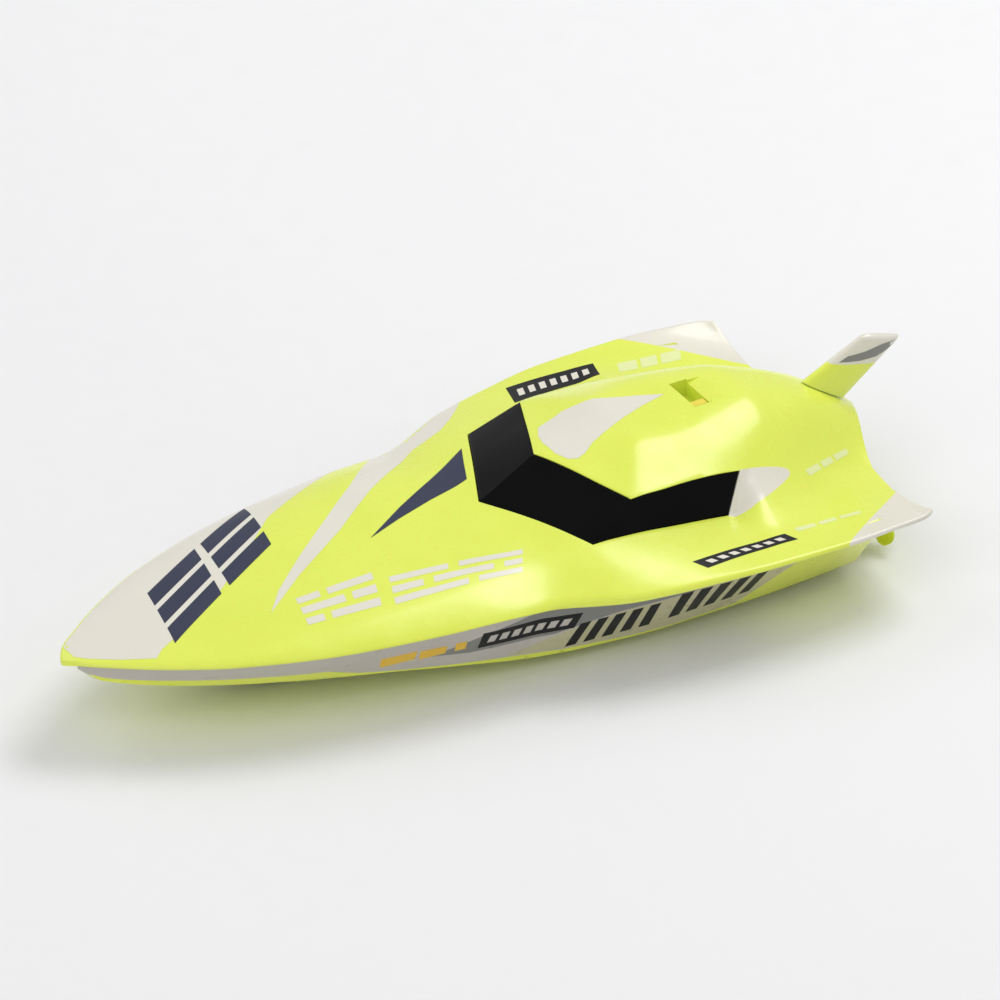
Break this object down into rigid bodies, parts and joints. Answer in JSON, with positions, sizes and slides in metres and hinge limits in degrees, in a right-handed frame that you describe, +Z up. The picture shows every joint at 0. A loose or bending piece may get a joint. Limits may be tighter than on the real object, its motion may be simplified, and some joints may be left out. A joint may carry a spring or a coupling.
{
  "type": "toy boat",
  "caption": "Radio-controlled toy speed boat with a lift-off deck and cabin, black windscreen, swept tail fin and twin screws.",
  "frame": {"origin": "under the middle of the boat, on the plane of the flat keel pad that it rests on", "axes": "+X to the bow, +Y to port, +Z up"},
  "size_m": [0.2491, 0.1162, 0.0442],
  "materials": {
    "hull_shell": "glossy injection-moulded plastic with printed bands",
    "deck_shell": "glossy injection-moulded plastic with printed marks",
    "window": "high-gloss black plastic",
    "fin_plastic": "glossy plastic, upper half printed pale grey with a dark stripe",
    "propeller_plastic": "glossy moulded nylon",
    "inner_plastic": "fine matt mould texture",
    "knob_plastic": "fine matt mould texture",
    "latch_plastic": "satin moulded plastic",
    "rubber_parts": "matt black rubber",
    "chip_resin": "matt black moulding resin",
    "cell_wrap": "shrink-wrapped film",
    "foam": "closed-cell foam",
    "board_resin": "solder mask",
    "steel_parts": "fine brushed steel",
    "brass_parts": "turned brass"
  },
  "bodies": {
    "hull": {"lower_hull": "hull_shell", "inner_deck": "inner_plastic", "deck_gasket": "rubber_parts", "battery_tray": "inner_plastic", "battery_cell": "cell_wrap", "contact_positive": "steel_parts", "contact_negative": "steel_parts", "circuit_board": "board_resin", "radio_chip": "chip_resin", "charge_socket": "inner_plastic", "switch_housing": "inner_plastic", "hinge_pin": "steel_parts", "bow_float": "foam", "motor_cradle_port": "inner_plastic", "motor_cradle_starboard": "inner_plastic", "motor_port": "steel_parts", "motor_starboard": "steel_parts", "stern_tube_port": "brass_parts", "stern_tube_starboard": "brass_parts", "tube_seal_port": "rubber_parts", "tube_seal_starboard": "rubber_parts", "water_contact_port": "brass_parts", "water_contact_starboard": "brass_parts", "deck_screw_port_1": "steel_parts", "deck_screw_port_2": "steel_parts", "deck_screw_port_3": "steel_parts", "deck_screw_starboard_1": "steel_parts", "deck_screw_starboard_2": "steel_parts", "deck_screw_starboard_3": "steel_parts"},
    "top_cover": {"upper_deck": "deck_shell", "windscreen": "window", "tail_fin": "fin_plastic", "fin_screw": "steel_parts", "latch_spring": "steel_parts"},
    "latch": {"cover_latch": "latch_plastic"},
    "door": {"battery_door": "inner_plastic", "door_seal": "rubber_parts"},
    "knob": {"door_knob": "knob_plastic"},
    "switch": {"power_switch": "latch_plastic"},
    "prop_port": {"propeller_port": "propeller_plastic", "drive_shaft_port": "steel_parts", "shaft_coupling_port": "rubber_parts", "prop_nut_port": "brass_parts"},
    "prop_starboard": {"propeller_starboard": "propeller_plastic", "drive_shaft_starboard": "steel_parts", "shaft_coupling_starboard": "rubber_parts", "prop_nut_starboard": "brass_parts"}
  },
  "joints": [
    {"name": "cover_lift", "type": "slide", "parent": "hull", "child": "top_cover", "axis": [0, 0, 1], "range_m": [0, 0.06]},
    {"name": "latch_slide", "type": "slide", "parent": "top_cover", "child": "latch", "axis": [0, -1, 0], "range_m": [0, 0.0022], "stiffness_N_per_m": 60, "springref_m": -0.002},
    {"name": "battery_door_hinge", "type": "hinge", "parent": "hull", "child": "door", "pos_m": [-0.041, 0.0086, 0.0206], "axis": [-1, 0, 0], "range_deg": [0, 90]},
    {"name": "door_knob_turn", "type": "hinge", "parent": "door", "child": "knob", "pos_m": [-0.0136, 0.0036, 0.0216], "axis": [0, 0, 1], "range_deg": [0, 90]},
    {"name": "power_switch_slide", "type": "slide", "parent": "hull", "child": "switch", "axis": [-1, 0, 0], "range_m": [0, 0.004]},
    {"name": "prop_port_spin", "type": "hinge", "parent": "hull", "child": "prop_port", "pos_m": [-0.101, 0.028, 0.0085], "axis": [0.999, 0, 0.0436], "continuous": true},
    {"name": "prop_starboard_spin", "type": "hinge", "parent": "hull", "child": "prop_starboard", "pos_m": [-0.101, -0.028, 0.0085], "axis": [0.999, 0, 0.0436], "continuous": true}
  ]
}
